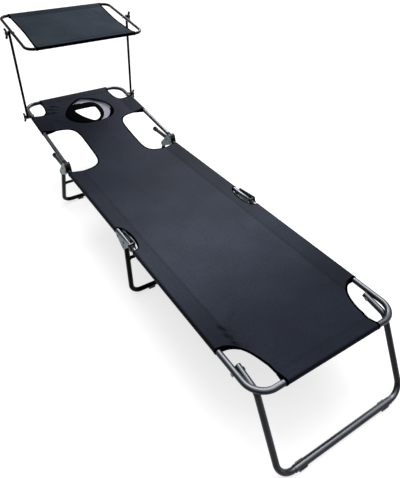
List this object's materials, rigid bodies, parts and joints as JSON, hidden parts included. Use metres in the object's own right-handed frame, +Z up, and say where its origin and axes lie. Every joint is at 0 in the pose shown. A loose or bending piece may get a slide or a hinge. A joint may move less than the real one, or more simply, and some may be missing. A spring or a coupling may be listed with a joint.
{
  "type": "folding sun lounger with canopy",
  "caption": "Folding tube-frame sun lounger with cloth panels, arm and face openings, and a tilting canopy.",
  "frame": {"origin": "centre of the floor area that the lounger covers, on the floor", "axes": "+X across the bed, +Y from the foot end to the head end, +Z up"},
  "size_m": [0.6096, 2.1006, 0.783],
  "materials": {
    "tube_steel": "gunmetal grey, semi-gloss powder coat",
    "dark_tube_steel": "dark grey, semi-gloss powder coat",
    "bracket_steel": "pressed sheet, blue-grey zinc plating",
    "zinc_hardware": "bright zinc rivets, pins and bolts",
    "black_plastic": "black moulded plastic, satin",
    "cloth": "charcoal woven polyester, matt",
    "pad_cloth": "black padded cloth, matt"
  },
  "bodies": {
    "middle_section": {"fold_pin_left": "zinc_hardware", "fold_pin_right": "zinc_hardware", "fold_plate_inner_left": "bracket_steel", "fold_plate_inner_right": "bracket_steel", "fold_plate_outer_left": "bracket_steel", "fold_plate_outer_right": "bracket_steel", "head_leg_pin_left": "zinc_hardware", "head_leg_pin_right": "zinc_hardware", "head_pin_left": "zinc_hardware", "head_pin_right": "zinc_hardware", "head_plate_inner_left": "bracket_steel", "head_plate_inner_right": "bracket_steel", "head_plate_outer_left": "bracket_steel", "head_plate_outer_right": "bracket_steel", "mid_fabric": "cloth", "mid_rail_cap_left": "black_plastic", "mid_rail_cap_right": "black_plastic", "mid_rail_left": "tube_steel", "mid_rail_right": "tube_steel", "middle_leg_pin_left": "zinc_hardware", "middle_leg_pin_right": "zinc_hardware"},
    "foot_section": {"foot_frame": "tube_steel", "foot_fabric": "cloth", "fold_saddle_left": "black_plastic", "fold_saddle_right": "black_plastic", "foot_leg_rivet_left": "zinc_hardware", "foot_leg_rivet_right": "zinc_hardware"},
    "foot_leg": {"foot_crossbar": "tube_steel", "foot_leg_pad_left": "black_plastic", "foot_leg_pad_right": "black_plastic", "foot_leg_plug_left": "black_plastic", "foot_leg_plug_right": "black_plastic", "foot_leg_side_left": "tube_steel", "foot_leg_side_right": "tube_steel"},
    "middle_leg": {"middle_leg_frame": "dark_tube_steel", "middle_leg_pad_left": "black_plastic", "middle_leg_pad_right": "black_plastic"},
    "head_leg": {"head_leg_frame": "dark_tube_steel", "head_leg_pad_left": "black_plastic", "head_leg_pad_right": "black_plastic"},
    "head_section": {"head_frame": "tube_steel", "head_fabric": "cloth", "face_pad": "pad_cloth", "head_knuckle_left": "black_plastic", "head_knuckle_right": "black_plastic", "post_bolt_left": "zinc_hardware", "post_bolt_right": "zinc_hardware", "post_saddle_left": "black_plastic", "post_saddle_right": "black_plastic"},
    "canopy_posts": {"canopy_bolt_left": "zinc_hardware", "canopy_bolt_right": "zinc_hardware", "canopy_post_left": "dark_tube_steel", "canopy_post_right": "dark_tube_steel"},
    "canopy": {"canopy_frame": "dark_tube_steel", "canopy_fabric": "cloth"},
    "post_knob_left": {"post_knob_left": "black_plastic"},
    "post_knob_right": {"post_knob_right": "black_plastic"},
    "canopy_knob_left": {"canopy_knob_left": "black_plastic"},
    "canopy_knob_right": {"canopy_knob_right": "black_plastic"}
  },
  "joints": [
    {"name": "foot_fold", "type": "hinge", "parent": "middle_section", "child": "foot_section", "pos_m": [0, -0.22921, 0.2815], "axis": [-1, 0, 0], "range_deg": [0, 170]},
    {"name": "foot_leg_fold", "type": "hinge", "parent": "foot_section", "child": "foot_leg", "pos_m": [0, -0.83821, 0.26316], "axis": [1, 0, 0], "range_deg": [0, 125]},
    {"name": "middle_leg_fold", "type": "hinge", "parent": "middle_section", "child": "middle_leg", "pos_m": [0, -0.18321, 0.245], "axis": [1, 0, 0], "range_deg": [0, 88]},
    {"name": "head_leg_fold", "type": "hinge", "parent": "middle_section", "child": "head_leg", "pos_m": [0, 0.47579, 0.228], "axis": [-1, 0, 0], "range_deg": [0, 112]},
    {"name": "head_recline", "type": "hinge", "parent": "middle_section", "child": "head_section", "pos_m": [0, 0.40179, 0.292], "axis": [-1, 0, 0], "range_deg": [-68, 7]},
    {"name": "post_swing", "type": "hinge", "parent": "head_section", "child": "canopy_posts", "pos_m": [0, 0.87325, 0.34989], "axis": [1, 0, 0], "range_deg": [-60, 60]},
    {"name": "canopy_tilt", "type": "hinge", "parent": "canopy_posts", "child": "canopy", "pos_m": [0, 0.84757, 0.74706], "axis": [-1, 0, 0], "range_deg": [-98, 82]},
    {"name": "post_knob_left_turn", "type": "hinge", "parent": "head_section", "child": "post_knob_left", "pos_m": [-0.2752, 0.87325, 0.34989], "axis": [1, 0, 0], "continuous": true},
    {"name": "post_knob_right_turn", "type": "hinge", "parent": "head_section", "child": "post_knob_right", "pos_m": [0.2752, 0.87325, 0.34989], "axis": [1, 0, 0], "continuous": true},
    {"name": "canopy_knob_left_turn", "type": "hinge", "parent": "canopy_posts", "child": "canopy_knob_left", "pos_m": [-0.28, 0.84757, 0.74706], "axis": [1, 0, 0], "continuous": true},
    {"name": "canopy_knob_right_turn", "type": "hinge", "parent": "canopy_posts", "child": "canopy_knob_right", "pos_m": [0.28, 0.84757, 0.74706], "axis": [1, 0, 0], "continuous": true}
  ]
}
